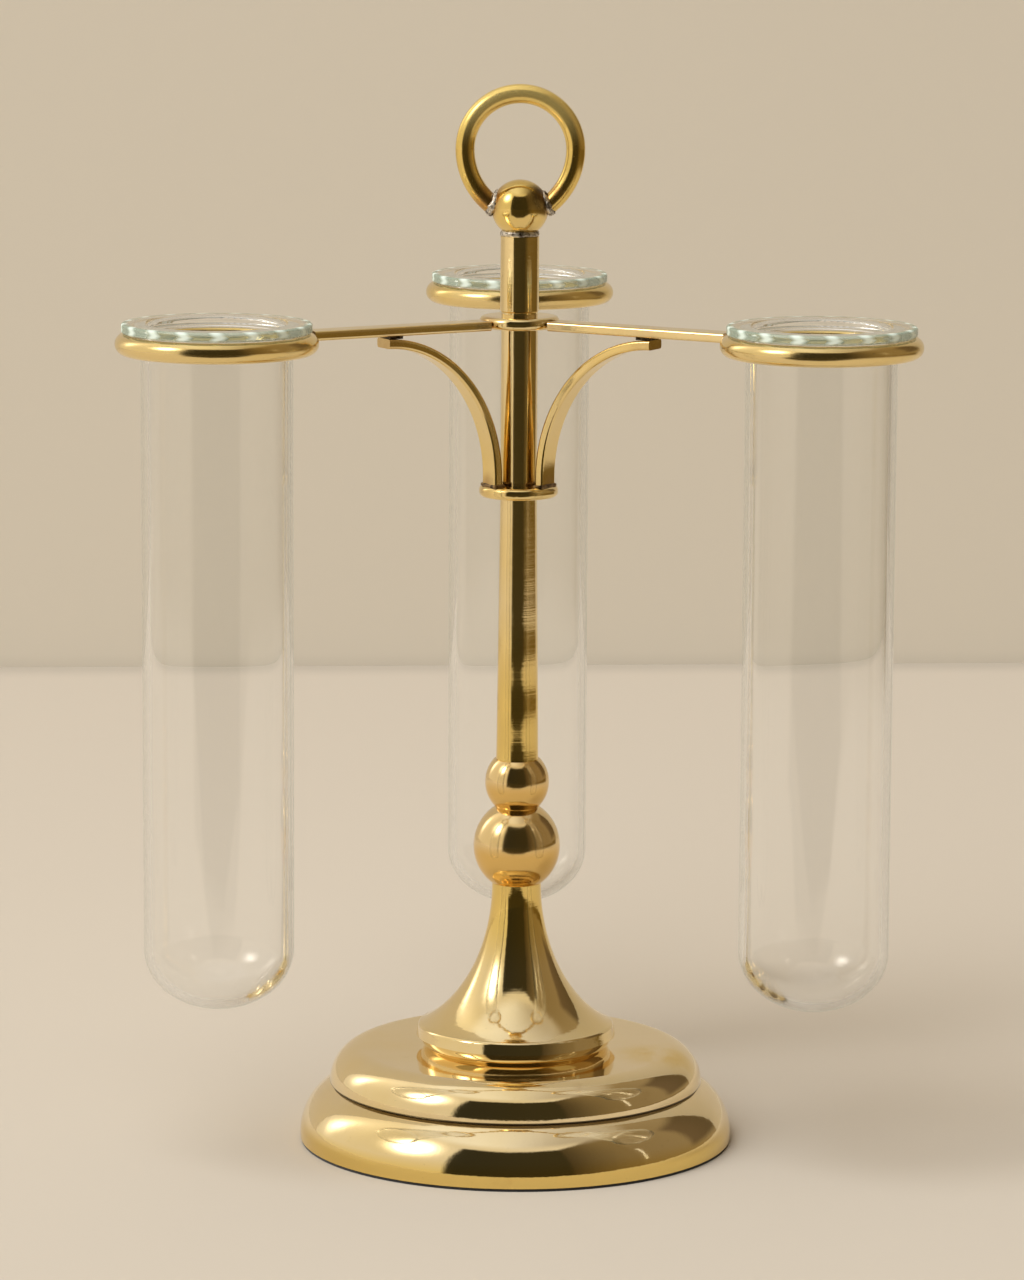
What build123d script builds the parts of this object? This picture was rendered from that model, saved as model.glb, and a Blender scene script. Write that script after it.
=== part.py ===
from build123d import *
import os
from math import acos, asin, atan2, cos, degrees, hypot, radians, sin, sqrt

# Brass table stand that carries three round-bottomed glass flower tubes.
# The origin is on the column's axis at table level, +Z is up and the front faces -Y.
# Lengths are in millimetres and angles in degrees.

# Where the three tubes stand round the column
site_angles = {"left": 210, "right": 330, "rear": 90}
tube_circle_radius = 88.3

# Felt pad and spun two-step foot
felt_thickness = 0.8
felt_inset = 0.3
foot_radius = 57.3
foot_rim_height = 0.8
foot_wall = 1.2
step_height = 14.2
step_bulge = 2.3
dome_radius = 49.4
groove_depth = 0.7
groove_width = 0.9
crown_height = 24.3
crown_radius = 41.0

# Tie rod that pulls the column together, with its nut and washer
rod_radius = 3.0
rod_clearance = 0.3
thread_gap = 0.05
thread_depth = 8.0
rod_tip_gap = 0.8
rod_stub = 1.5
rod_end_clearance = 1.0
nut_across_flats = 10.0
nut_height = 5.0
nut_chamfer = 0.6
washer_radius = 7.0
washer_thickness = 1.2

# Cast weight inside the foot
ballast_clearance = 0.6
ballast_height = 10.5
ballast_boss_radius = 16.0
ballast_edge_radius = 2.0
nut_recess_radius = 9.0

# Trumpet-shaped bell on the foot's crown
bell_height = 44.2
bell_foot_radius = 23.8
bell_base_radius = 25.2
bell_base_height = 3.3
bell_base_bulge = 0.45
bell_rim_radius = 26.4
bell_band_height = 2.6
bell_band_taper = 0.5
bell_lip_height = 0.7
bell_lip_width = 0.9
bell_lip_bulge = 0.15
bell_flare_centre = 35.4
bell_top_radius = 6.45
bell_wall = 2.4
bell_neck_height = 9.0

# Two balls above the bell
large_bead_radius = 11.45
large_bead_height = 20.5
bead_waist_radius = 5.7
small_bead_radius = 8.45
small_bead_height = 12.8
small_bead_seat_radius = 6.1

# Stem and the two collars on it
stem_foot_radius = 5.55
stem_radius = 4.8
stem_taper_height = 69.9
stem_upper_height = 41.3
collar_radius = 10.35
collar_thickness = 3.1
collar_edge_radius = 1.3
arm_seat_depth = 0.15
solder_gap = 0.1

# Flat bar of the arms and brackets
bar_width = 6.8
bar_thickness = 2.5
bar_edge_radius = 0.7
arm_drop = 0.5

# Brackets and the solder pads under the arms
bracket_foot_radius = 7.9
bracket_foot_height = 2.4
bracket_reach = 40.3
pad_thickness = 0.7
pad_length = 3.8
pad_width = 5.5
pad_setback = 0.4

# Wire rings that hold the tubes
ring_radius = 23.2
ring_wire_radius = 2.65
ring_rise = 0.6

# Sleeve, finial ball and lift ring
sleeve_radius = 5.05
sleeve_height = 20.75
sleeve_foot_height = 1.0
sleeve_foot_inset = 0.3
solder_ring_radius = 4.8
solder_ring_height = 1.3
solder_ring_bulge = 0.2
ball_radius = 7.45
ball_seat_radius = 4.5
lift_ring_radius = 14.35
lift_leg_radius = 18.4
lift_ring_wire_radius = 2.5
lift_ring_rise = 15.3
lift_ring_socket_depth = 1.0

# Glass tubes
tube_radius = 19.3
tube_wall = 2.0
tube_length = 177.0
tube_bottom_depth = 15.2
tube_seat_gap = 0.2
flange_radius = 24.2
flange_thickness = 2.4
flange_edge_radius = 0.6
flange_throat_radius = 1.6
mouth_radius = 1.4

# Heights above the table, stacked from the felt upwards
foot_z = felt_thickness
step_z = foot_z + step_height
groove_z = step_z + groove_width
crown_z = foot_z + crown_height
bell_band_z = crown_z + bell_base_height
bell_rim_z = bell_band_z + bell_band_height
bell_lip_z = bell_rim_z + bell_lip_height
bell_top_z = crown_z + bell_height
bead_waist_z = bell_top_z + large_bead_height
stem_z = bead_waist_z + small_bead_height
bracket_collar_z = stem_z + stem_taper_height
bracket_z = bracket_collar_z + collar_thickness
arm_collar_z = bracket_z + stem_upper_height
sleeve_z = arm_collar_z + collar_thickness
solder_ring_z = sleeve_z + sleeve_height
ball_seat_z = solder_ring_z + solder_ring_height
ball_z = ball_seat_z + sqrt(ball_radius**2 - ball_seat_radius**2)
lift_ring_z = ball_z + lift_ring_rise

# Heights of the arms and of what hangs on them
arm_z = arm_collar_z + collar_thickness / 2 - arm_drop
arm_top_z = arm_z + bar_thickness / 2
arm_bottom_z = arm_z - bar_thickness / 2
bracket_top_z = arm_bottom_z - pad_thickness
ring_top_z = arm_top_z + ring_rise
ring_z = ring_top_z - ring_wire_radius
flange_z = ring_top_z + tube_seat_gap
mouth_z = flange_z + flange_thickness
tube_bottom_z = mouth_z - tube_length
tube_bend_z = tube_bottom_z + tube_bottom_depth

# Sizes that follow from the ones above
rod_bore_radius = rod_radius + rod_clearance
rod_bottom_z = foot_z + rod_end_clearance
rod_top_z = ball_seat_z + thread_depth - rod_tip_gap
nut_z = rod_bottom_z + rod_stub
washer_z = nut_z + nut_height
nut_recess_depth = washer_z + washer_thickness - foot_z
ballast_radius = dome_radius - groove_depth - foot_wall - ballast_clearance
tube_bore_radius = tube_radius - tube_wall
arm_seat_radius = collar_radius - arm_seat_depth
bell_cavity_radius = bell_foot_radius - bell_wall
bell_band_top = bell_rim_radius - bell_band_taper
bell_lip_top = bell_band_top - bell_lip_width

# Flare of the bell: part of an ellipse centred level with the bell's top, outside its rim
flare_width = bell_flare_centre - bell_top_radius
flare_angle = acos((bell_flare_centre - bell_lip_top) / flare_width)
flare_depth = (bell_top_z - bell_lip_z) / sin(flare_angle)
cavity_width = flare_width + bell_wall
cavity_depth = flare_depth + bell_wall
cavity_foot_angle = acos((bell_flare_centre - bell_cavity_radius) / cavity_width)
cavity_neck_angle = asin(bell_neck_height / cavity_depth)
cavity_foot_z = bell_top_z - cavity_depth * sin(cavity_foot_angle)
cavity_neck_z = bell_top_z - bell_neck_height
cavity_neck_radius = bell_flare_centre - cavity_width * cos(cavity_neck_angle)

# Legs of the lift ring: wider arcs that run on from the half circle until they stand in the ball
lift_leg_offset = lift_leg_radius - lift_ring_radius
lift_leg_distance = hypot(lift_leg_offset, lift_ring_rise)
lift_touch_cosine = (lift_leg_distance**2 + lift_leg_radius**2 - ball_radius**2) / (
    2 * lift_leg_distance * lift_leg_radius
)
lift_touch_angle = atan2(lift_ring_rise, lift_leg_offset) - acos(lift_touch_cosine)
lift_leg_angle = degrees(lift_touch_angle + lift_ring_socket_depth / lift_leg_radius)

os.makedirs("parts", exist_ok=True)


# Vertical plane through the column and a tube: local x runs outwards, local y runs up
def site_plane(angle):
    outward = (cos(radians(angle)), sin(radians(angle)), 0)
    sideways = (sin(radians(angle)), -cos(radians(angle)), 0)
    return Plane(origin=(0, 0, 0), x_dir=outward, z_dir=sideways)


# Point on a tube's axis at a given height
def tube_point(angle, height):
    return (tube_circle_radius * cos(radians(angle)), tube_circle_radius * sin(radians(angle)), height)


def save(builder, name):
    builder.part.label = name
    export_step(builder.part, f"parts/{name}.step")


# Felt pad glued under the foot
with BuildPart() as felt_pad:
    with BuildSketch(Plane.XY):
        Circle(foot_radius - felt_inset)
    extrude(amount=felt_thickness)
save(felt_pad, "felt_pad")

# Foot spun from sheet: a bulged lower step, a groove, a rounded upper step and a flat crown
with BuildPart() as base_foot:
    with BuildSketch(Plane.XZ):
        with BuildLine():
            groove_floor = dome_radius - groove_depth
            groove_middle = (step_z + groove_z) / 2
            rim_top = foot_z + foot_rim_height
            inner_dome = dome_radius - foot_wall
            inner_crown = crown_z - foot_wall
            Line((foot_radius, foot_z), (foot_radius, rim_top))
            SagittaArc((foot_radius, rim_top), (dome_radius, step_z), -step_bulge)
            Polyline((dome_radius, step_z), (groove_floor, groove_middle), (dome_radius, groove_z))
            EllipticalCenterArc(
                (crown_radius, groove_z), dome_radius - crown_radius, crown_z - groove_z, 0, arc_size=90
            )
            Polyline(
                (crown_radius, crown_z),
                (rod_bore_radius, crown_z),
                (rod_bore_radius, inner_crown),
                (crown_radius, inner_crown),
            )
            EllipticalCenterArc(
                (crown_radius, groove_z), inner_dome - crown_radius, inner_crown - groove_z, 0, arc_size=90
            )
            Polyline((inner_dome, groove_z), (groove_floor - foot_wall, groove_middle), (inner_dome, step_z))
            SagittaArc((foot_radius - foot_wall, rim_top), (inner_dome, step_z), -step_bulge)
            Polyline((foot_radius - foot_wall, rim_top), (foot_radius - foot_wall, foot_z), (foot_radius, foot_z))
        make_face()
    revolve(axis=Axis.Z)
save(base_foot, "base_foot")

# Cast weight: a thick disc with a boss up to the crown and a recess for the nut
with BuildPart() as base_ballast:
    with BuildSketch(Plane.XY.offset(foot_z)):
        Circle(ballast_radius)
    extrude(amount=ballast_height)
    fillet(base_ballast.edges().group_by(Axis.Z)[-1], ballast_edge_radius)
    with BuildSketch(Plane.XY.offset(foot_z)):
        Circle(ballast_boss_radius)
    extrude(amount=crown_height - foot_wall)
    with Locations(Plane(origin=(0, 0, foot_z), z_dir=(0, 0, -1))):
        CounterBoreHole(rod_bore_radius, nut_recess_radius, nut_recess_depth)
save(base_ballast, "base_ballast")

# Washer against the roof of the recess
with BuildPart() as base_washer:
    with BuildSketch(Plane.XY.offset(washer_z)):
        Circle(washer_radius)
        Circle(rod_bore_radius, mode=Mode.SUBTRACT)
    extrude(amount=washer_thickness)
save(base_washer, "base_washer")

# Hexagon nut on the rod's lower end
with BuildPart() as base_nut:
    with BuildSketch(Plane.XY.offset(nut_z)):
        RegularPolygon(nut_across_flats / 2, 6, major_radius=False)
    extrude(amount=nut_height)
    chamfer(base_nut.edges().group_by(Axis.Z)[0], nut_chamfer)
    with BuildSketch(Plane.XY.offset(nut_z)):
        Circle(rod_radius + thread_gap)
    extrude(amount=nut_height, mode=Mode.SUBTRACT)
save(base_nut, "base_nut")

# Rod from the nut up into the finial ball
with BuildPart() as tie_rod:
    with BuildSketch(Plane.XY.offset(rod_bottom_z)):
        Circle(rod_radius)
    extrude(amount=rod_top_z - rod_bottom_z)
    chamfer(tie_rod.edges().filter_by(GeomType.CIRCLE), rod_radius / 6)
save(tie_rod, "tie_rod")

# Bell: an undercut rounded base, a rim band with a rounded lip and a flare that narrows to the neck, hollow
# underneath
with BuildPart() as bell_column:
    with BuildSketch(Plane.XZ):
        with BuildLine():
            SagittaArc((bell_foot_radius, crown_z), (bell_base_radius, bell_band_z), -bell_base_bulge)
            Polyline(
                (bell_base_radius, bell_band_z), (bell_rim_radius, bell_band_z), (bell_band_top, bell_rim_z)
            )
            SagittaArc((bell_band_top, bell_rim_z), (bell_lip_top, bell_lip_z), -bell_lip_bulge)
            EllipticalCenterArc(
                (bell_flare_centre, bell_top_z), flare_width, flare_depth, 180, arc_size=degrees(flare_angle)
            )
            Polyline(
                (bell_top_radius, bell_top_z), (0, bell_top_z), (0, crown_z), (bell_foot_radius, crown_z)
            )
        make_face()
    revolve(axis=Axis.Z)
    with BuildSketch(Plane.XZ):
        with BuildLine():
            Line((bell_cavity_radius, crown_z), (bell_cavity_radius, cavity_foot_z))
            EllipticalCenterArc(
                (bell_flare_centre, bell_top_z),
                cavity_width,
                cavity_depth,
                180 + degrees(cavity_neck_angle),
                arc_size=degrees(cavity_foot_angle - cavity_neck_angle),
            )
            Polyline(
                (cavity_neck_radius, cavity_neck_z),
                (0, cavity_neck_z),
                (0, crown_z),
                (bell_cavity_radius, crown_z),
            )
        make_face()
    revolve(axis=Axis.Z, mode=Mode.SUBTRACT)
    with Locations((0, 0, bell_top_z)):
        Hole(rod_bore_radius)
save(bell_column, "bell_column")

# Turned balls, each flat where it meets its neighbours
bead_profiles = {
    "large_bead": (bell_top_z, bell_top_radius, large_bead_radius, bead_waist_z, bead_waist_radius),
    "small_bead": (bead_waist_z, bead_waist_radius, small_bead_radius, stem_z, small_bead_seat_radius),
}
for bead_name, (low_z, low_radius, wide_radius, high_z, high_radius) in bead_profiles.items():
    low_angle = acos(low_radius / wide_radius)
    high_angle = acos(high_radius / wide_radius)
    half_axis = (high_z - low_z) / (sin(low_angle) + sin(high_angle))
    centre_z = low_z + half_axis * sin(low_angle)
    with BuildPart() as bead:
        with BuildSketch(Plane.XZ):
            with BuildLine():
                outline = EllipticalCenterArc(
                    (0, centre_z),
                    wide_radius,
                    half_axis,
                    -degrees(low_angle),
                    arc_size=degrees(low_angle + high_angle),
                )
                Polyline(outline @ 1, (rod_bore_radius, high_z), (rod_bore_radius, low_z), outline @ 0)
            make_face()
        revolve(axis=Axis.Z)
    save(bead, bead_name)

# Stem: tapers up to the bracket collar, then runs straight to the arm collar
with BuildPart() as stem:
    with BuildSketch(Plane.XZ):
        with BuildLine():
            Polyline(
                (rod_bore_radius, stem_z),
                (stem_foot_radius, stem_z),
                (stem_radius, bracket_collar_z),
                (stem_radius, arm_collar_z),
                (rod_bore_radius, arm_collar_z),
                close=True,
            )
        make_face()
    revolve(axis=Axis.Z)
save(stem, "stem")

# Collar soldered round the stem, under the brackets
with BuildPart() as bracket_collar:
    with BuildSketch(Plane.XY.offset(bracket_collar_z)):
        Circle(collar_radius)
    extrude(amount=collar_thickness)
    fillet(bracket_collar.edges().filter_by(GeomType.CIRCLE), collar_edge_radius)
    with BuildSketch(Plane.XY.offset(bracket_collar_z)):
        Circle(stem_radius + solder_gap)
    extrude(amount=collar_thickness, mode=Mode.SUBTRACT)
save(bracket_collar, "bracket_collar")

# Collar clamped between stem and sleeve, with a flat for the end of each arm
with BuildPart() as arm_collar:
    with BuildSketch(Plane.XY.offset(arm_collar_z)):
        Circle(collar_radius)
    extrude(amount=collar_thickness)
    fillet(arm_collar.edges().filter_by(GeomType.CIRCLE), collar_edge_radius)
    with BuildSketch(Plane.XY.offset(arm_collar_z)):
        Circle(rod_bore_radius)
        with PolarLocations(arm_seat_radius, len(site_angles), start_angle=site_angles["rear"]):
            Rectangle(collar_radius, bar_width, align=(Align.MIN, Align.CENTER))
    extrude(amount=collar_thickness, mode=Mode.SUBTRACT)
save(arm_collar, "arm_collar")

# Brackets: flat bar that stands on the collar and bends over in a quarter ellipse under the arm
bend_z = bracket_z + bracket_foot_height
bend_span = bracket_reach - bracket_foot_radius
bend_rise = bracket_top_z - bar_thickness / 2 - bend_z
half_bar = bar_thickness / 2
for site, angle in site_angles.items():
    with BuildPart() as bracket:
        with BuildSketch(site_plane(angle)):
            with BuildLine():
                EllipticalCenterArc(
                    (bracket_reach, bend_z), bend_span + half_bar, bend_rise + half_bar, 90, arc_size=90
                )
                Polyline(
                    (bracket_foot_radius - half_bar, bend_z),
                    (bracket_foot_radius - half_bar, bracket_z),
                    (bracket_foot_radius + half_bar, bracket_z),
                    (bracket_foot_radius + half_bar, bend_z),
                )
                EllipticalCenterArc(
                    (bracket_reach, bend_z), bend_span - half_bar, bend_rise - half_bar, 90, arc_size=90
                )
                Line(
                    (bracket_reach, bend_z + bend_rise - half_bar), (bracket_reach, bend_z + bend_rise + half_bar)
                )
            make_face()
        extrude(amount=bar_width / 2, both=True)
        side_faces = bracket.faces().filter_by(site_plane(angle))
        long_edges = side_faces.edges().sort_by(SortBy.LENGTH)[-4:]
        foot_edges = side_faces.edges().filter_by(Axis.Z).group_by(Axis.Z)[0]
        fillet(long_edges + foot_edges, bar_edge_radius)
    save(bracket, f"bracket_{site}")

# Solder pads between the bracket ends and the arms
with BuildPart() as bracket_solder:
    with BuildSketch(Plane.XY.offset(bracket_top_z)):
        pad_radius = bracket_reach - pad_setback - pad_length / 2
        with PolarLocations(pad_radius, len(site_angles), start_angle=site_angles["rear"]):
            Rectangle(pad_length, pad_width)
    extrude(amount=pad_thickness)
save(bracket_solder, "bracket_solder")

# Arms: flat bar from the collar's flat to the ring, its outer end coped to the wire
for site, angle in site_angles.items():
    outward = site_plane(angle).x_dir
    with BuildPart() as arm:
        seat_centre = outward * arm_seat_radius + Vector(0, 0, arm_z)
        with BuildSketch(Plane(seat_centre, x_dir=site_plane(angle).z_dir, z_dir=outward)):
            RectangleRounded(bar_width, bar_thickness, bar_edge_radius)
        extrude(amount=tube_circle_radius - ring_radius - arm_seat_radius)
        with Locations(tube_point(angle, ring_z)):
            Torus(ring_radius, ring_wire_radius + solder_gap, mode=Mode.SUBTRACT)
    save(arm, f"arm_{site}")

# Rings of round wire at the arm ends
for site, angle in site_angles.items():
    with BuildPart() as tube_ring:
        with Locations(tube_point(angle, ring_z)):
            Torus(ring_radius, ring_wire_radius)
    save(tube_ring, f"tube_ring_{site}")

# Sleeve between the arm collar and the finial, with a turned-down foot
with BuildPart() as upper_sleeve:
    with BuildSketch(Plane.XZ):
        with BuildLine():
            Polyline(
                (rod_bore_radius, sleeve_z),
                (sleeve_radius - sleeve_foot_inset, sleeve_z),
                (sleeve_radius - sleeve_foot_inset, sleeve_z + sleeve_foot_height),
                (sleeve_radius, sleeve_z + sleeve_foot_height + sleeve_foot_inset),
                (sleeve_radius, solder_ring_z),
                (rod_bore_radius, solder_ring_z),
                close=True,
            )
        make_face()
    revolve(axis=Axis.Z)
save(upper_sleeve, "upper_sleeve")

# Solder between the sleeve's top and the ball
with BuildPart() as finial_solder:
    with BuildSketch(Plane.XZ):
        with BuildLine():
            SagittaArc(
                (solder_ring_radius, solder_ring_z), (solder_ring_radius, ball_seat_z), -solder_ring_bulge
            )
            Polyline(
                (solder_ring_radius, ball_seat_z),
                (rod_bore_radius, ball_seat_z),
                (rod_bore_radius, solder_ring_z),
                (solder_ring_radius, solder_ring_z),
            )
        make_face()
    revolve(axis=Axis.Z)
save(finial_solder, "finial_solder")

# Path of the lift ring: up one leg, over the half circle and down the other leg
with BuildLine(Plane.XZ) as lift_path:
    CenterArc((lift_leg_offset, lift_ring_z), lift_leg_radius, 180 + lift_leg_angle, -lift_leg_angle)
    CenterArc((0, lift_ring_z), lift_ring_radius, 180, -180)
    CenterArc((-lift_leg_offset, lift_ring_z), lift_leg_radius, 0, -lift_leg_angle)

# Finial ball with a tapped hole below and a socket at each side for the lift ring
with BuildPart() as finial_ball:
    with BuildSketch(Plane.XZ):
        with BuildLine():
            seat_angle = degrees(acos(ball_seat_radius / ball_radius))
            CenterArc((0, ball_z), ball_radius, -seat_angle, 90 + seat_angle)
            Polyline((0, ball_z + ball_radius), (0, ball_seat_z), (ball_seat_radius, ball_seat_z))
        make_face()
    revolve(axis=Axis.Z)
    with Locations(Plane(origin=(0, 0, ball_seat_z), z_dir=(0, 0, -1))):
        Hole(rod_radius + thread_gap, depth=thread_depth)
    with BuildSketch(lift_path.line ^ 0):
        Circle(lift_ring_wire_radius + solder_gap)
    sweep(path=lift_path.line, mode=Mode.SUBTRACT)
save(finial_ball, "finial_ball")

# Lift ring of round wire
with BuildPart() as lift_ring:
    with BuildSketch(lift_path.line ^ 0):
        Circle(lift_ring_wire_radius)
    sweep(path=lift_path.line)
save(lift_ring, "lift_ring")

# Glass tubes: a rounded bottom, a straight wall and a thick flat rim that rests on the ring
for site, angle in site_angles.items():
    with BuildPart() as glass_tube:
        with BuildSketch(Plane(tube_point(angle, 0), x_dir=(1, 0, 0), z_dir=(0, -1, 0))):
            with BuildLine():
                EllipticalCenterArc((0, tube_bend_z), tube_radius, tube_bottom_depth, -90, arc_size=90)
                FilletPolyline(
                    (tube_radius, tube_bend_z),
                    (tube_radius, flange_z),
                    (flange_radius, flange_z),
                    (flange_radius, mouth_z),
                    (tube_bore_radius, mouth_z),
                    (tube_bore_radius, tube_bend_z),
                    radius=[flange_throat_radius, flange_edge_radius, flange_edge_radius, mouth_radius],
                )
                EllipticalCenterArc(
                    (0, tube_bend_z), tube_bore_radius, tube_bottom_depth - tube_wall, -90, arc_size=90
                )
                Line((0, tube_bottom_z + tube_wall), (0, tube_bottom_z))
            make_face()
        revolve(axis=Axis(tube_point(angle, 0), (0, 0, 1)))
    save(glass_tube, f"glass_tube_{site}")
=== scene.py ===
import bmesh
import bpy
import math
from mathutils import Matrix, Vector, noise


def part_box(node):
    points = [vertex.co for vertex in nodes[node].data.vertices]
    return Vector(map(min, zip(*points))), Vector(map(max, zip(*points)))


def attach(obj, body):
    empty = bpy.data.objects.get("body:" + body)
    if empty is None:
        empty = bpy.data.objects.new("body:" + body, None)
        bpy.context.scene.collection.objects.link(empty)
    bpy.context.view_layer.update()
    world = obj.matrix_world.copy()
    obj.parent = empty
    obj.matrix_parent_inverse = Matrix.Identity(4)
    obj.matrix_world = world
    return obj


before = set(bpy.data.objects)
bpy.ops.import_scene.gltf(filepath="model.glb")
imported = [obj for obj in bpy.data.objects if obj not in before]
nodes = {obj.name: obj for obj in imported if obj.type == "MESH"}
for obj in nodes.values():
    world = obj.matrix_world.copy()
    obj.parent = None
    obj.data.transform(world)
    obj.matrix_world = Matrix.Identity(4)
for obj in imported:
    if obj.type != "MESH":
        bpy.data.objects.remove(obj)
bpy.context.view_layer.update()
scene = bpy.context.scene
scene.view_settings.view_transform = "Standard"
sites = ("left", "right", "rear")
print("frame loaded:", len(nodes), "nodes")


class Wire:  # a socket that takes Python arithmetic
    def __init__(self, paint, socket):
        self.paint = paint
        self.socket = socket

    def __add__(self, other):
        return self.paint.maths("ADD", self, other)

    def __radd__(self, other):
        return self.paint.maths("ADD", other, self)

    def __sub__(self, other):
        return self.paint.maths("SUBTRACT", self, other)

    def __rsub__(self, other):
        return self.paint.maths("SUBTRACT", other, self)

    def __mul__(self, other):
        return self.paint.maths("MULTIPLY", self, other)

    def __rmul__(self, other):
        return self.paint.maths("MULTIPLY", other, self)

    def __truediv__(self, other):
        return self.paint.maths("DIVIDE", self, other)

    def __rtruediv__(self, other):
        return self.paint.maths("DIVIDE", other, self)


class Paint:  # one material, or the world, and the nodes added to it
    def __init__(self, name, shader="ShaderNodeBsdfPrincipled", values=None, world=False):
        self.owner = (bpy.data.worlds if world else bpy.data.materials).new(name)
        self.owner.use_nodes = True
        self.tree = self.owner.node_tree
        self.tree.nodes.clear()
        self.output = self.tree.nodes.new("ShaderNodeOutputWorld" if world else "ShaderNodeOutputMaterial")
        self.surface = self.add(shader, None, values)
        self.show(self.surface)

    def show(self, surface):
        self.tree.links.new(surface.socket, self.output.inputs["Surface"])

    def add(self, kind, settings=None, inputs=None, output=0):
        node = self.tree.nodes.new(kind)
        for key, value in (settings or {}).items():
            setattr(node, key, value)
        for key, value in (inputs or {}).items():
            self.feed(node.inputs[key], value)
        return Wire(self, node.outputs[output])

    def feed(self, socket, value):
        if isinstance(value, Wire):
            self.tree.links.new(value.socket, socket)
        else:
            socket.default_value = value

    def shade(self, **inputs):
        for key, value in inputs.items():
            self.feed(self.surface.socket.node.inputs[key.replace("_", " ")], value)

    def place(self, source="Object"):  # Object coordinates are in metres
        return self.add("ShaderNodeTexCoord", None, None, source)

    def axis(self, letter, source="Object"):
        return self.add("ShaderNodeSeparateXYZ", None, {0: self.place(source)}, "XYZ".index(letter))

    def path(self, kind):  # what is known about a ray
        return self.add("ShaderNodeLightPath", None, None, kind)

    def behind(self):  # 1 on the back of a face
        return self.add("ShaderNodeNewGeometry", None, None, "Backfacing")

    def maths(self, operation, first, second=0.0):
        return self.add("ShaderNodeMath", {"operation": operation}, {0: first, 1: second})

    def noise(self, scale, detail, roughness, stretch=(1, 1, 1), seed=0.0, distortion=0.0):
        shift = (seed, -seed, 0.7 * seed)  # each seed has a place of its own in the noise
        moves = {"Vector": self.place(), "Scale": stretch, "Location": shift}
        moved = self.add("ShaderNodeMapping", None, moves)
        values = {"Scale": scale, "Detail": detail, "Roughness": roughness, "Distortion": distortion}
        return self.add("ShaderNodeTexNoise", None, {"Vector": moved, **values}, "Fac")

    def spread(self, value, low, high, first=0.0, last=1.0):  # maps low..high to first..last, clamped
        return self.add(
            "ShaderNodeMapRange",
            {"clamp": True, "interpolation_type": "SMOOTHSTEP"},
            {"Value": value, "From Min": low, "From Max": high, "To Min": first, "To Max": last},
        )

    def band(self, value, low, high, feather):  # 1 between low and high
        rise = self.spread(value, low - feather, low + feather)
        return rise * self.spread(value, high - feather, high + feather, 1.0, 0.0)

    def near(self, point, inner, outer):  # 1 close to a point, 0 away from it
        ends = {0: self.place(), 1: point}
        far = self.add("ShaderNodeVectorMath", {"operation": "DISTANCE"}, ends, "Value")
        return self.spread(far, inner, outer, 1.0, 0.0)

    def blend(self, share, first, second):  # colours mixed by a share
        return self.add("ShaderNodeMix", {"data_type": "RGBA"}, {0: share, 6: first, 7: second}, 2)

    def mixed(self, share, first, second):  # shaders mixed by a share
        return self.add("ShaderNodeMixShader", None, {0: share, 1: first, 2: second})

    def bump(self, height, strength, depth, before=None):
        inputs = {"Height": height, "Strength": strength, "Distance": depth}
        if before is not None:
            inputs["Normal"] = before
        return self.add("ShaderNodeBump", None, inputs)


def dress(paint, *names):
    for name in names:
        mesh = nodes[name].data
        mesh.materials.clear()
        mesh.materials.append(paint.owner)


brassLook = {
    "clean": (0.91, 0.765, 0.49, 1),
    "warm": (0.86, 0.63, 0.20, 1),
    "rosy": (0.82, 0.54, 0.17, 1),
    "stain": (0.42, 0.21, 0.07, 1),
    # near-black, for the pits and for painted shade
    "sootAndShade": (0.05, 0.032, 0.016, 1),
    "cloud": (24, 4, 0.55),  # scale, detail and roughness of each noise
    "patch": (75, 5, 0.6),
    "grain": (900, 3, 0.55),
    "pits": (1500, 2, 0.5),
    "rings": (60, 5, 0.65),
    "swell": (38, 2, 0.45),
    "patchTwist": 0.4,
    "ringStretch": (0.25, 0.25, 14),  # squeezed along the axis
    "cloudWarmth": 0.40,
    "cloudRange": (0.40, 0.75),
    "reflectedGoldFull": 0.95,
    "tarnish": 0.30,
    "tarnishRange": (0.64, 0.86),
    "stainRange": (0.30, 0.62),
    "pitRange": (0.70, 0.78),
    "cloudRough": 0.04,
    "stainRough": 0.20,
    "grainRough": 0.03,
    "wornRough": 0.06,
    "wornDull": 0.24,
    "pitRough": 0.25,
    "grooveFeather": 0.0001,
    "grooveShadeAmount": 0.8,
    "grooveRough": 0.3,
    "grainBump": (0.04, 0.0002),  # strength and depth
    "ringDepth": 0.0012,
    "swellDepth": 0.004,
}


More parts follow.
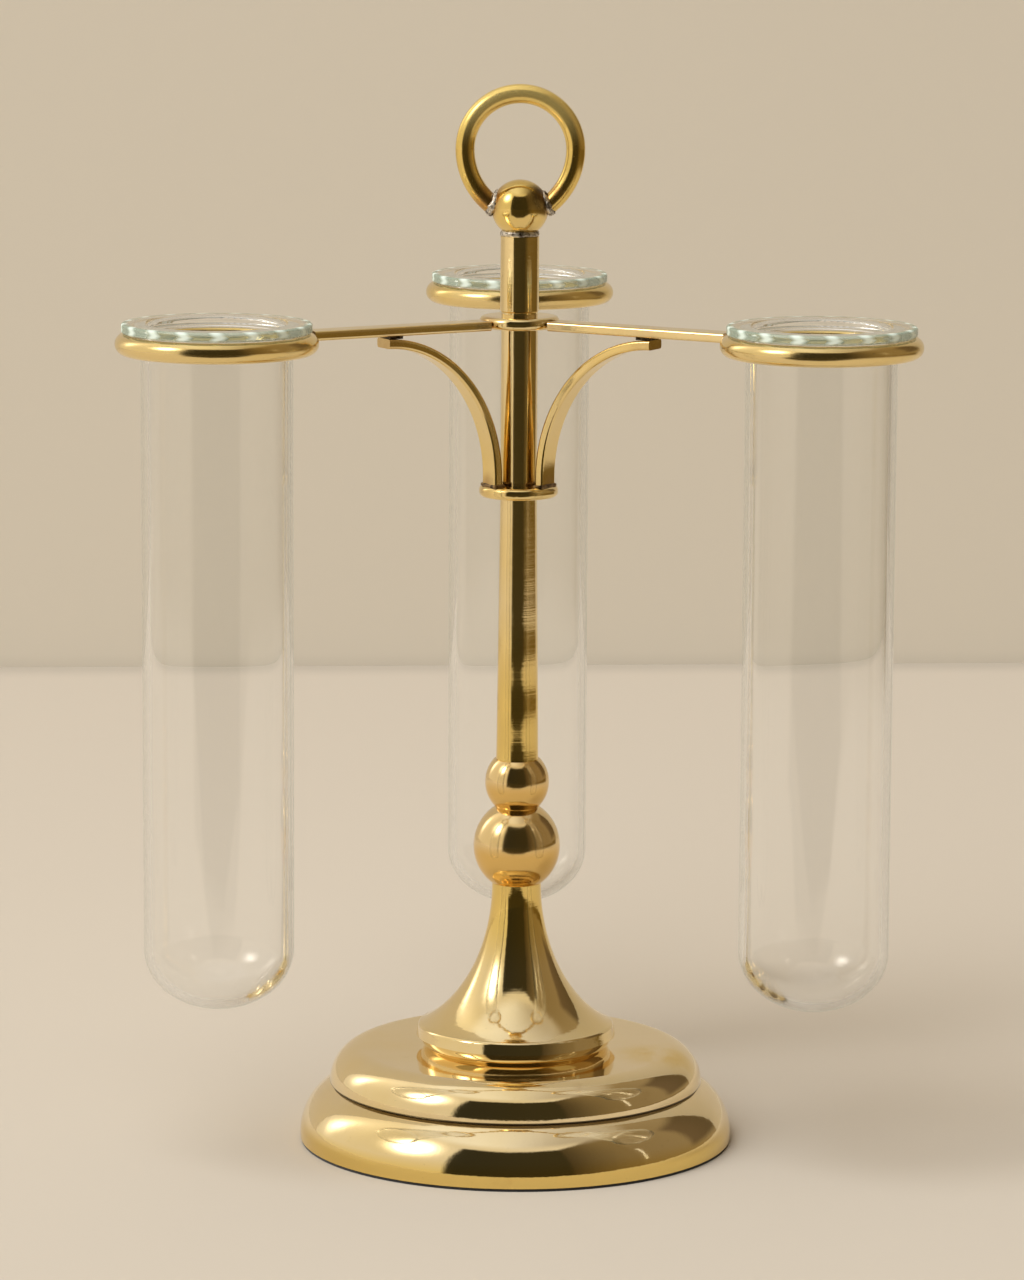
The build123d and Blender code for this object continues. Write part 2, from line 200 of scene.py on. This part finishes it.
def brassFinish(
    name,
    seed,
    polish,
    wave=0.0,
    turned=0.0,
    specks=0.0,
    stains=(),
    gold=0.25,
    reflectedGoldEnd=None,
    dullTop=None,
    ripple=None,
    groove=None,
    tone="warm",
):
    look = brassLook
    paint = Paint(name, values={"Metallic": 1.0})
    height = paint.axis("Z")
    cloud = paint.noise(*look["cloud"], seed=seed)  # each noise here has its own seed
    patch = paint.noise(*look["patch"], seed=seed + 3, distortion=look["patchTwist"])
    grain = paint.noise(*look["grain"], seed=seed + 5)
    warmth = gold + look["cloudWarmth"] * paint.spread(cloud, *look["cloudRange"])
    if reflectedGoldEnd:  # painted reflection of warm brass: deeper gold towards one end, from the height of full gold to that of none
        warmth = paint.maths("MAXIMUM", warmth, paint.spread(height, *reflectedGoldEnd, look["reflectedGoldFull"], 0.0))
    tarnish = paint.spread(patch, *look["tarnishRange"]) * look["tarnish"]
    colour = paint.blend(warmth, look["clean"], look[tone])
    colour = paint.blend(tarnish, colour, look["stain"])
    rough = polish + look["cloudRough"] * cloud + look["stainRough"] * tarnish + look["grainRough"] * grain
    for tint, point, inner, outer, amount in stains:  # heat marks and finger stains, broken up by patches
        mark = paint.near(point, inner, outer) * paint.spread(patch, *look["stainRange"]) * amount
        colour = paint.blend(mark, colour, look[tint])
        rough = rough + look["stainRough"] * mark
    if dullTop:  # worn by the fingers that lift it: height of no wear, then of full wear
        worn = paint.spread(height, *dullTop)
        rough = rough + look["wornRough"] * worn
        paint.shade(Metallic=1.0 - look["wornDull"] * worn)
    if specks:  # small dark pits left by casting and polishing
        pits = paint.spread(paint.noise(*look["pits"], seed=seed + 8), *look["pitRange"]) * specks
        colour = paint.blend(pits, colour, look["sootAndShade"])
        rough = rough + look["pitRough"] * pits
    if groove:  # painted shade: a dark band in the groove between two heights
        grooveShade = paint.band(height, *groove, look["grooveFeather"])
        colour = paint.blend(grooveShade * look["grooveShadeAmount"], colour, look["sootAndShade"])
        rough = rough + look["grooveRough"] * grooveShade
    normal = paint.bump(grain, *look["grainBump"])
    if turned:  # rings left by the lathe
        rings = paint.noise(*look["rings"], stretch=look["ringStretch"], seed=seed + 11)
        normal = paint.bump(rings, turned, look["ringDepth"], normal)
    if ripple:  # uneven turning that fades out upwards
        sway = paint.maths("SINE", (height - ripple["start"]) * (math.tau / ripple["length"]))
        sway = sway * paint.spread(height, *ripple["fade"], 1.0, 0.0)
        normal = paint.bump(sway, 1.0, ripple["depth"], normal)
    if wave:  # hand polishing leaves the mirror slightly uneven
        swell = paint.noise(*look["swell"], seed=seed + 14)
        normal = paint.bump(swell, wave, look["swellDepth"], normal)
    paint.shade(Base_Color=colour, Roughness=rough, Normal=normal)
    return paint


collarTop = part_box("bracket_collar")[1].z
armLow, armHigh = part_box("arm_rear")
armMiddle = (armLow.z + armHigh.z) / 2
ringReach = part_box("tube_ring_rear")[0].y
ballLow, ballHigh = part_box("finial_ball")
ballHeight = ballHigh.z - (ballHigh.y - ballLow.y) / 2
siteTurn = {"left": math.radians(210), "right": math.radians(330), "rear": math.radians(90)}


def outward(site, reach, height):  # a point on a tube's side of the column
    return Vector((math.cos(siteTurn[site]) * reach, math.sin(siteTurn[site]) * reach, height))


footStains = [  # each stain: tint, place, full within, none beyond, amount
    ("warm", (0.0375, -0.010, 0.0256), 0.003, 0.015, 1.0),
    ("stain", (-0.022, -0.040, 0.018), 0.001, 0.010, 0.10),
]
barStains = [("stain", outward(site, 0.0085, collarTop), 0.001, 0.005, 0.60) for site in sites]
barStains += [("stain", outward(site, 0.0108, armMiddle), 0.0015, 0.006, 0.65) for site in sites]
barStains += [("stain", outward(site, 0.0395, armMiddle - 0.003), 0.002, 0.007, 0.45) for site in sites]
ringStains = [("stain", outward(site, ringReach, armMiddle), 0.002, 0.007, 0.55) for site in sites]
legStains = [
    ("stain", (side * 0.0078, -0.001, ballHeight + 0.0025), 0.002, 0.0065, 0.85) for side in (-1, 1)
]
# a near-black patch on the upper right front of the ball
ballStains = legStains + [("sootAndShade", (0.0056, -0.0040, ballHeight + 0.0032), 0.0020, 0.0056, 0.90)]

dress(
    brassFinish(
        "brassSpun",
        seed=0.3,
        polish=0.022,
        wave=0.08,
        specks=0.2,
        stains=footStains,
        gold=0.0,
        reflectedGoldEnd=(0.0035, 0.0085),
        # painted shade in the groove of the foot
        groove=(0.0153, 0.0161),
    ),
    "base_foot",
)
dress(
    brassFinish(
        "brassBell",
        seed=4.1,
        polish=0.028,
        wave=0.06,
        turned=0.015,
        specks=0.2,
        gold=0.05,
        reflectedGoldEnd=(0.060, 0.040),
    ),
    "bell_column",
)
beadReflectedGold = {"full": -0.002, "none": 0.004}  # heights from the bead's middle; the lower half gets a painted reflection of warm brass
for name in ("large_bead", "small_bead"):
    beadLow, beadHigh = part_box(name)
    beadMiddle = (beadLow.z + beadHigh.z) / 2
    dress(
        brassFinish(
            name + "Brass",
            seed=0.7,
            polish=0.085,
            wave=0.05,
            turned=0.02,
            specks=0.2,
            gold=0.45,
            reflectedGoldEnd=(beadMiddle + beadReflectedGold["full"], beadMiddle + beadReflectedGold["none"]),
            tone="rosy",
        ),
        name,
    )
dress(
    brassFinish("brassBall", seed=7.7, polish=0.085, wave=0.05, specks=0.4, stains=ballStains, gold=0.65),
    "finial_ball",
)
stemRipple = {"start": 0.1097, "length": 0.0163, "depth": 0.00014, "fade": (0.133, 0.148)}
dress(
    brassFinish(
        "brassStem",
        seed=1.1,
        polish=0.085,
        wave=0.12,
        turned=0.05,
        specks=0.3,
        gold=0.25,
        reflectedGoldEnd=(0.115, 0.165),
        ripple=stemRipple,
    ),
    "stem",
)
dress(
    brassFinish(
        "brassDrawn",
        seed=5.2,
        polish=0.060,
        wave=0.08,
        turned=0.03,
        specks=0.4,
        stains=barStains,
        gold=0.35,
    ),
    "upper_sleeve",
    "bracket_collar",
    "arm_collar",
)
for kind, gold in (("arm", 0.20), ("bracket", 0.50)):
    dress(
        brassFinish(
            kind + "Brass",
            seed=1.7,
            polish=0.060,
            wave=0.20,
            specks=0.6,
            stains=barStains,
            gold=gold,
        ),
        *[f"{kind}_{site}" for site in sites],
    )
dress(
    brassFinish("brassRing", seed=2.3, polish=0.150, wave=0.10, specks=0.6, stains=ringStains, gold=0.55),
    *[f"tube_ring_{site}" for site in sites],
)
dress(
    brassFinish(
        "brassWire",
        seed=3.1,
        polish=0.150,
        wave=0.12,
        specks=0.7,
        stains=legStains,
        gold=0.90,
        dullTop=(0.263, 0.275),
    ),
    "lift_ring",
)
print("brass done")

glassLook = {
    "wall": (0.997, 1.0, 0.998, 1),
    "teal": (0.80, 0.90, 0.82, 1),
    "gap": (0.28, 0.35, 0.25, 1),
    "mint": (0.76, 0.83, 0.69, 1),
    # colour of the painted glow that the glass gives off after many mirrored bounces
    "paintedGlow": (0.42, 0.39, 0.30, 1),
    "flange": 0.0024,  # height of the rim
    "feather": 0.0003,
    "rimDepth": (0.0022, 0.0006),  # in from the rim's edge: nothing, full
    "marks": 17,  # pressing marks round the rim
    "slant": 0.30,
    "markRange": (0.22, 0.46),
    "markBump": (0.25, 0.0006),
    "milk": (0.46, 0.30),  # between the marks, and more on them
    "mostMirrored": 2.5,  # past this many mirrored bounces the glass shows a painted glow of flat colour
}
for site in sites:
    glass = Paint("glass_" + site, values={"Transmission Weight": 1.0, "IOR": 1.45, "Roughness": 0.0})
    rimLow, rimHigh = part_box("glass_tube_" + site)
    middle = (rimLow + rimHigh) / 2
    radius = (rimHigh.x - rimLow.x) / 2
    flangeLow = rimHigh.z - glassLook["flange"]
    height = glass.axis("Z")
    across, along = glass.axis("X") - middle.x, glass.axis("Y") - middle.y
    turnShare = glass.maths("ARCTAN2", along, across) * (glassLook["marks"] / math.tau)
    level = glass.maths("ABSOLUTE", (height - (rimHigh.z + flangeLow) / 2) / glassLook["flange"])
    saw = glass.maths("FRACT", turnShare + glassLook["slant"] * level)
    mark = glass.spread(glass.maths("ABSOLUTE", saw - 0.5), *glassLook["markRange"])
    fromAxis = glass.maths("SQRT", across * across + along * along)
    edge = glass.spread(height, flangeLow - glassLook["feather"], flangeLow + glassLook["feather"])
    edge = edge * glass.spread(fromAxis, *[radius - depth for depth in glassLook["rimDepth"]])
    edge = edge * (1 - glass.behind())
    glass.shade(
        Base_Color=glass.blend(edge, glassLook["wall"], glassLook["teal"]),
        Normal=glass.bump(mark * edge, *glassLook["markBump"]),
    )
    milkyGap, milkyMark = [
        glass.add("ShaderNodeBsdfDiffuse", None, {"Color": glassLook[tint]}) for tint in ("gap", "mint")
    ]
    leastMilk, moreMilk = glassLook["milk"]
    milky = glass.mixed(mark, milkyGap, milkyMark)
    clear = glass.mixed(edge * (leastMilk + moreMilk * mark), glass.surface, milky)
    # painted glow: rays mirrored too often inside the glass end in a flat glowing colour
    deepBounce = glass.maths("GREATER_THAN", glass.path("Glossy Depth"), glassLook["mostMirrored"])
    paintedGlow = glass.add("ShaderNodeEmission", None, {"Color": glassLook["paintedGlow"]})
    glass.show(glass.mixed(deepBounce, clear, paintedGlow))
    dress(glass, "glass_tube_" + site)
print("glass done")

feltLook = {
    "dark": (0.004, 0.004, 0.004, 1),
    "light": (0.028, 0.025, 0.022, 1),
    "fuzz": (900, 4, 0.7),
    "pile": (160, 3, 0.6),
    "pileSeed": 2,
    "fuzzShare": 0.7,
    "fuzzBump": (0.6, 0.0004),
}
felt = Paint("feltBlack", values={"Roughness": 0.95, "Sheen Weight": 0.3})
feltFuzz = felt.noise(*feltLook["fuzz"])
feltPile = felt.noise(*feltLook["pile"], seed=feltLook["pileSeed"])
feltMix = feltFuzz * feltLook["fuzzShare"] + feltPile * (1 - feltLook["fuzzShare"])
felt.shade(
    Base_Color=felt.blend(feltMix, feltLook["dark"], feltLook["light"]),
    Normal=felt.bump(feltFuzz, *feltLook["fuzzBump"]),
)
dress(felt, "felt_pad")

ironLook = {
    "dark": (0.03, 0.03, 0.032, 1),
    "light": (0.10, 0.095, 0.09, 1),
    "grain": (260, 5, 0.65),
    "leastRough": 0.55,
    "grainRough": 0.3,
    "grainBump": (0.5, 0.0006),
}
iron = Paint("ironCast", values={"Metallic": 0.6})
ironGrain = iron.noise(*ironLook["grain"])
iron.shade(
    Base_Color=iron.blend(ironGrain, ironLook["dark"], ironLook["light"]),
    Roughness=ironLook["leastRough"] + ironLook["grainRough"] * ironGrain,
    Normal=iron.bump(ironGrain, *ironLook["grainBump"]),
)
dress(iron, "base_ballast")

steelLook = {
    "dark": (0.48, 0.48, 0.49, 1),
    "light": (0.62, 0.62, 0.63, 1),
    "grain": (500, 3, 0.5),
    "stretch": (1, 1, 0.1),
    "leastRough": 0.25,
    "grainRough": 0.2,
}
steel = Paint("steelPlain", values={"Metallic": 1.0})
steelGrain = steel.noise(*steelLook["grain"], stretch=steelLook["stretch"])
steel.shade(
    Base_Color=steel.blend(steelGrain, steelLook["dark"], steelLook["light"]),
    Roughness=steelLook["leastRough"] + steelLook["grainRough"] * steelGrain,
)
dress(steel, "tie_rod", "base_nut", "base_washer")

solderLook = {
    "lumps": (650, 4, 0.6),
    "tint": (240, 3, 0.5),
    "lumpTwist": 0.5,
    "lumpShare": 0.7,
    "brightRange": (0.39, 0.58),
    "leastRough": 0.28,
    "tintRough": 0.30,
    "lumpBump": (0.5, 0.0005),
}


def solderFinish(name, crevice, metal, seed):
    look = solderLook
    paint = Paint(name, values={"Metallic": 1.0})
    lumps = paint.noise(*look["lumps"], seed=seed, distortion=look["lumpTwist"])
    tint = paint.noise(*look["tint"], seed=seed + 2)
    mixture = lumps * look["lumpShare"] + tint * (1 - look["lumpShare"])
    paint.shade(
        Base_Color=paint.blend(paint.spread(mixture, *look["brightRange"]), crevice, metal),
        Roughness=look["leastRough"] + look["tintRough"] * tint,
        Normal=paint.bump(lumps, *look["lumpBump"]),
    )
    return paint


solderBright = solderFinish("solderBright", (0.09, 0.065, 0.05, 1), (0.86, 0.81, 0.74, 1), 0.4)
solderBrown = solderFinish("solderBrown", (0.025, 0.016, 0.010, 1), (0.36, 0.24, 0.12, 1), 2.4)
solderDark = solderFinish("solderDark", (0.012, 0.009, 0.006, 1), (0.12, 0.085, 0.05, 1), 5.4)
dress(solderDark, "bracket_solder")
dress(solderBright, "finial_solder")
print("materials done")

lumpLook = {
    "fractal": (1.0, 2.0, 3),  # fall-off, step in scale, octaves
    "ringSegments": 14,
    "ringSteps": 64,
    "slabBevel": 0.42,  # of the slab's thickness
    "slabSegments": 3,
    "slabCuts": 2,
}


def roughen(part, amount, scale, seed):  # uneven, as solder sets
    part.normal_update()
    for vert in part.verts:
        place = vert.co * scale + Vector((seed, -seed, 2 * seed))
        vert.co += vert.normal * noise.fractal(place, *lumpLook["fractal"]) * amount


def lumpyRing(look, seed):
    part = bmesh.new()
    bmesh.ops.create_circle(part, segments=lumpLook["ringSegments"], radius=look["bead"])
    bmesh.ops.rotate(part, verts=part.verts, cent=(0, 0, 0), matrix=Matrix.Rotation(math.pi / 2, 3, "X"))
    bmesh.ops.scale(part, verts=part.verts, vec=(1, 1, look["flat"]))
    bmesh.ops.translate(part, verts=part.verts, vec=(look["ring"], 0, 0))
    bmesh.ops.spin(
        part,
        geom=part.verts[:] + part.edges[:],
        cent=(0, 0, 0),
        axis=(0, 0, 1),
        angle=math.tau,
        steps=lumpLook["ringSteps"],
        use_merge=True,
    )
    bmesh.ops.remove_doubles(part, verts=part.verts, dist=1e-7)
    bmesh.ops.recalc_face_normals(part, faces=part.faces)
    roughen(part, look["amount"], look["scale"], seed)
    return part


def lumpySlab(look, seed):
    part = bmesh.new()
    bmesh.ops.create_cube(part, size=1)
    bmesh.ops.scale(part, verts=part.verts, vec=look["size"])
    bmesh.ops.bevel(
        part,
        geom=part.edges[:],
        offset=lumpLook["slabBevel"] * min(look["size"]),
        affect="EDGES",
        segments=lumpLook["slabSegments"],
        profile=0.5,
        material=-1,
    )
    bmesh.ops.subdivide_edges(part, edges=part.edges[:], cuts=lumpLook["slabCuts"], use_grid_fill=True)
    bmesh.ops.triangulate(part, faces=[face for face in part.faces if len(face.verts) > 4])
    bmesh.ops.smooth_vert(
        part, verts=part.verts, factor=0.5, use_axis_x=True, use_axis_y=True, use_axis_z=True
    )
    bmesh.ops.recalc_face_normals(part, faces=part.faces)
    roughen(part, look["amount"], look["scale"], seed)
    return part


def solderPiece(name, paint, lumps):  # lumps: (bmesh, where it goes)
    whole = bmesh.new()
    for part, where in lumps:
        bmesh.ops.transform(part, matrix=where, verts=part.verts)
        lump = bpy.data.meshes.new("lump")
        part.to_mesh(lump)
        part.free()
        whole.from_mesh(lump)
        bpy.data.meshes.remove(lump)
    mesh = bpy.data.meshes.new(name)
    whole.to_mesh(mesh)
    whole.free()
    mesh.polygons.foreach_set("use_smooth", [True] * len(mesh.polygons))
    mesh.materials.append(paint.owner)
    piece = bpy.data.objects.new(name, mesh)
    scene.collection.objects.link(piece)
    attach(piece, "stand")


def siteSlabs(name, paint, look):  # one slab on each tube's side, with x outwards along the arm
    lumps = []
    for index, site in enumerate(sites):
        where = Matrix.Translation(outward(site, look["reach"], look["height"]))
        where = where @ Matrix.Rotation(siteTurn[site], 4, "Z")
        lumps.append((lumpySlab(look, look["seed"] + index), where))
    solderPiece(name, paint, lumps)


legLook = {
    "out": 0.0068,
    "up": 0.0013,
    "lean": 62.0,
    "ring": 0.0024,
    "bead": 0.00115,
    "flat": 1.0,
    "amount": 0.00045,
    "scale": 900,
    "seed": 3.0,
}
legLumps = []
for side in (-1, 1):
    where = Matrix.Translation((side * legLook["out"], 0, ballHeight + legLook["up"]))
    where = where @ Matrix.Rotation(math.radians(side * legLook["lean"]), 4, "Y")
    legLumps.append((lumpyRing(legLook, legLook["seed"] + side), where))
solderPiece("legSolder", solderBright, legLumps)

finialLook = {"ring": 0.00445, "bead": 0.00062, "flat": 1.25, "amount": 0.00022, "scale": 1100, "seed": 7.0}
finialLow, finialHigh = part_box("finial_solder")
finialMiddle = Matrix.Translation((0, 0, (finialLow.z + finialHigh.z) / 2))
solderPiece("finialSolderBead", solderBright, [(lumpyRing(finialLook, finialLook["seed"]), finialMiddle)])

footLook = {
    "reach": 0.0078,
    "height": collarTop + 0.0002,
    "size": (0.0034, 0.0076, 0.0011),
    "amount": 0.00022,
    "scale": 800,
    "seed": 1.5,
}
siteSlabs("bracketFootSolder", solderBrown, footLook)

brazeLook = {
    "reach": ringReach - 0.0001,
    "height": armMiddle,
    "size": (0.0014, 0.0071, 0.0028),
    "amount": 0.00014,
    "scale": 900,
    "seed": 4.5,
}
siteSlabs("ringBraze", solderBrown, brazeLook)

seatLook = {
    "reach": 0.01005,
    "height": armMiddle - 0.0001,
    "size": (0.0012, 0.0050, 0.0017),
    "amount": 0.00018,
    "scale": 900,
    "seed": 8.5,
}
siteSlabs("armSeatSolder", solderDark, seatLook)
print("solder done")

stageLook = {
    "floor": (0.600, 0.512, 0.395, 1),
    "wall": (0.615, 0.525, 0.390, 1),
    "mottle": (1.5, 2, 0.5),
    "variation": 0.03,
    "wallDistance": 0.749,
    "wallSlope": 0.0575,  # the wall isn't quite square to the camera
    "wallHalf": 0.82,  # half its width
    "wallHeight": 2.0,
    "wallCorner": (0.006, 0.06),  # soft shadow where the table meets the wall: reach and depth
    "floorCorner": (0.028, 0.15),
    "floorReach": 4.5,
    "tableEdge": 0.33,
    "openAngles": (-38, 128),  # azimuths from the front, in degrees
    "openSoft": 3,
    "leftAngles": (-38, -14),
    "leftWider": 0.6,
    "rightAngles": (10, 50),
    "rightWider": 1.15,
    "brownAngles": (26, 58),
    "edgeSoft": (0.06, 0.20),  # in front, and more on the right
    # colours of the painted dark room beyond the table: near-black in front, brown on the right
    "roomFront": (0.040, 0.030, 0.011, 1),
    "roomRight": (0.15, 0.098, 0.028, 1),
}


def stageSheet(name, corners, colour, oneSided):
    look = stageLook
    part = bmesh.new()
    part.faces.new([part.verts.new(corner) for corner in corners])
    mesh = bpy.data.meshes.new(name)
    part.to_mesh(mesh)
    part.free()
    sheet = bpy.data.objects.new(name, mesh)
    scene.collection.objects.link(sheet)
    paint = Paint(name + "Paint", values={"Roughness": 0.9, "Specular IOR Level": 0.1})
    if oneSided:
        fromCorner = paint.axis("Z")
        cornerReach, cornerDepth = look["wallCorner"]
    else:
        fromCorner = look["wallDistance"] + look["wallSlope"] * paint.axis("X") - paint.axis("Y")
        cornerReach, cornerDepth = look["floorCorner"]
    # painted shadow: darker towards black close to where the table meets the wall
    corner = paint.spread(fromCorner, 0.0, cornerReach, cornerDepth, 0.0)
    darker = tuple(channel * (1 - look["variation"]) for channel in colour[:3]) + (1,)
    mottled = paint.blend(paint.noise(*look["mottle"]), colour, darker)
    paint.shade(Base_Color=paint.blend(corner, mottled, (0, 0, 0, 1)))
    if oneSided:  # seen from the front only, so views from behind look through it
        clear = paint.add("ShaderNodeBsdfTransparent")
        paint.show(paint.mixed(paint.behind() * paint.path("Is Camera Ray"), paint.surface, clear))
    else:  # beyond the table's edge in front and on the right, a painted dark room that only the polished metal mirrors
        azimuth = paint.maths("ARCTAN2", paint.axis("X"), 0 - paint.axis("Y")) * math.degrees(1)
        far = paint.add("ShaderNodeVectorMath", {"operation": "LENGTH"}, {0: paint.place()}, "Value")
        brown = paint.spread(azimuth, *look["brownAngles"])
        wider = look["leftWider"] * paint.spread(azimuth, *look["leftAngles"], 1.0, 0.0)
        wider = wider + look["rightWider"] * paint.spread(azimuth, *look["rightAngles"])
        edge = look["tableEdge"] * (1 + wider)
        frontSoft, rightSoft = look["edgeSoft"]
        beyond = paint.band(azimuth, *look["openAngles"], look["openSoft"])
        beyond = beyond * paint.spread(far, edge, edge + frontSoft + rightSoft * brown)
        mirrored = paint.maths("MINIMUM", paint.path("Glossy Depth"), 1)
        roomFront, roomRight = [
            paint.add("ShaderNodeBsdfDiffuse", None, {"Color": look[end]}) for end in ("roomFront", "roomRight")
        ]
        # painted dark room, mirrored in the metal
        dark = paint.mixed(brown, roomFront, roomRight)
        paint.show(paint.mixed(beyond * mirrored, paint.surface, dark))
    mesh.materials.append(paint.owner)


reach = stageLook["floorReach"]
back = stageLook["wallDistance"]
slope = stageLook["wallSlope"]
half = stageLook["wallHalf"]
top = stageLook["wallHeight"]
stageSheet(
    "floor",
    [(-reach, -reach, 0), (reach, -reach, 0), (reach, reach, 0), (-reach, reach, 0)],
    stageLook["floor"],
    False,
)
wallCorners = [(-half, 0), (half, 0), (half, top), (-half, top)]
stageSheet("backdrop", [(x, back + x * slope, z) for x, z in wallCorners], stageLook["wall"], True)

lampLook = {
    "place": (-3.8, -4.8, 6.0),
    "aim": (0.0, 0.2, 0.15),
    "size": 8.8,
    "energy": 1160,
    "colour": (0.78, 0.86, 1.0),
}
lampData = bpy.data.lights.new("softLamp", "AREA")
lampData.size = lampLook["size"]
lampData.energy = lampLook["energy"]
lampData.color = lampLook["colour"]
softLamp = bpy.data.objects.new("softLamp", lampData)
softLamp.location = lampLook["place"]
aim = Vector(lampLook["aim"]) - Vector(lampLook["place"])
softLamp.rotation_euler = aim.to_track_quat("-Z", "Y").to_euler()
softLamp.visible_glossy = False
softLamp.visible_transmission = False
softLamp.visible_camera = False
scene.collection.objects.link(softLamp)

roomLook = {  # the studio round the table, by azimuth from the front and height in degrees
    "paper": (0.80, 0.71, 0.56, 1),
    "ceiling": ((0.97, 0.93, 0.87, 1), (0.52, 0.46, 0.385, 1)),  # brighter on the left
    "ceilingSides": (-0.25, 0.40),  # sideways part of the direction, from the left end to the right one
    "ceilingFrom": (54, 66),  # height of none, then of full ceiling
    "panels": [  # each colour runs from its first value on the left to its last on the right
        {
            "across": (58, 250),
            "up": (-40, 64),
            "soft": 8,
            "colours": ((0.26, 0.19, 0.10, 1), (0.44, 0.35, 0.22, 1)),
        },
        {
            "across": (143, 250),
            "up": (-40, 70),
            "soft": 5,
            "colours": ((0.60, 0.50, 0.37, 1), (0.64, 0.54, 0.40, 1)),
        },
        {
            "across": (109, 138),
            "up": (4, 40),
            "soft": 4,
            "colours": ((0.15, 0.105, 0.06, 1), (0.12, 0.085, 0.045, 1)),
        },
        {
            "across": (18, 72),
            "up": (-60, 43),
            "slope": 0.30,  # higher towards the right
            "soft": 2,
            "colours": ((0.045, 0.032, 0.014, 1), (0.23, 0.165, 0.08, 1)),
        },
        {
            "across": (-38, 31),
            "up": (-40, 52),
            "soft": 2,
            "colours": ((0.036, 0.031, 0.017, 1), (0.046, 0.036, 0.015, 1)),
        },
        {
            "across": (74.2, 75.6),
            "up": (9, 29),
            "soft": 0.4,
            "colours": ((1.0, 0.92, 0.78, 1), (1.0, 0.92, 0.78, 1)),
        },
    ],
    "glows": [
        {"across": -66, "up": 38, "wide": 11.5, "tall": 9.5, "power": 9},
        {"across": -122, "up": 23, "wide": 4.5, "tall": 10, "power": 2.4},
        {"across": -120, "up": 40, "wide": 17, "tall": 22, "power": 0.30},
    ],
    "glowColour": (1.0, 0.96, 0.88),
    "glowShare": 0.12,  # of the glows that lights the table and the wall
    "seen": (0.64, 0.54, 0.40, 1),
    "strength": 1.0,
}
room = Paint("room", "ShaderNodeBackground", {"Strength": roomLook["strength"]}, world=True)
toX, toY, toZ = [room.axis(letter, "Generated") for letter in "XYZ"]
across = room.maths("ARCTAN2", toX, 0 - toY) * math.degrees(1)
up = room.maths("ARCSINE", toZ) * math.degrees(1)
light = roomLook["paper"]
for panel in roomLook["panels"]:
    level = up - panel.get("slope", 0) * across
    share = room.band(across, *panel["across"], panel["soft"])
    share = share * room.band(level, *panel["up"], panel["soft"])
    light = room.blend(share, light, room.blend(room.spread(across, *panel["across"]), *panel["colours"]))
ceiling = room.blend(room.spread(toX, *roomLook["ceilingSides"]), *roomLook["ceiling"])
light = room.blend(room.spread(up, *roomLook["ceilingFrom"]), light, ceiling)
glow = 0.0
for lamp in roomLook["glows"]:
    sideways = (across - lamp["across"]) / lamp["wide"]
    upright = (up - lamp["up"]) / lamp["tall"]
    glow = glow + lamp["power"] * room.maths("EXPONENT", 0 - (sideways * sideways + upright * upright))
direct, glossy, through = [room.path(f"Is {kind} Ray") for kind in ("Camera", "Glossy", "Transmission")]
mirrored = room.maths("MINIMUM", room.path("Glossy Depth"), 1)
shine = room.maths("MAXIMUM", room.maths("MAXIMUM", glossy, through), roomLook["glowShare"]) * (1 - direct)
glowLight = room.add(
    "ShaderNodeVectorMath", {"operation": "SCALE"}, {0: roomLook["glowColour"], "Scale": glow * shine}
)
plain = room.maths("MAXIMUM", direct, through) * (1 - mirrored)  # what the eye sees past the stage
light = room.blend(plain, light, roomLook["seen"])
room.shade(Color=room.add("ShaderNodeVectorMath", {"operation": "ADD"}, {0: light, 1: glowLight}))
scene.world = room.owner
print("stage and room done")

cameraLook = {
    "focal": 5601.0,  # pixels, for a picture 1024 wide
    "pictureWidth": 1024,
    "sensor": 36,
    "clip": (0.05, 20),
    "place": (0.0, -1.4532, 0.3752),
    "pitch": 9.413,
    "turn": 0.06,
    "roll": 0.294,
}
lens = bpy.data.cameras.new("camera")
lens.sensor_fit = "HORIZONTAL"
lens.sensor_width = cameraLook["sensor"]
lens.lens = cameraLook["sensor"] * cameraLook["focal"] / cameraLook["pictureWidth"]
lens.clip_start, lens.clip_end = cameraLook["clip"]
camera = bpy.data.objects.new("camera", lens)
scene.collection.objects.link(camera)
turn = Matrix.Rotation(math.radians(cameraLook["turn"]), 4, "Z")
pitch = Matrix.Rotation(math.radians(90 - cameraLook["pitch"]), 4, "X")
roll = Matrix.Rotation(math.radians(cameraLook["roll"]), 4, "Z")
camera.location = cameraLook["place"]
camera.rotation_euler = (turn @ pitch @ roll).to_euler()
scene.camera = camera
print("camera done")
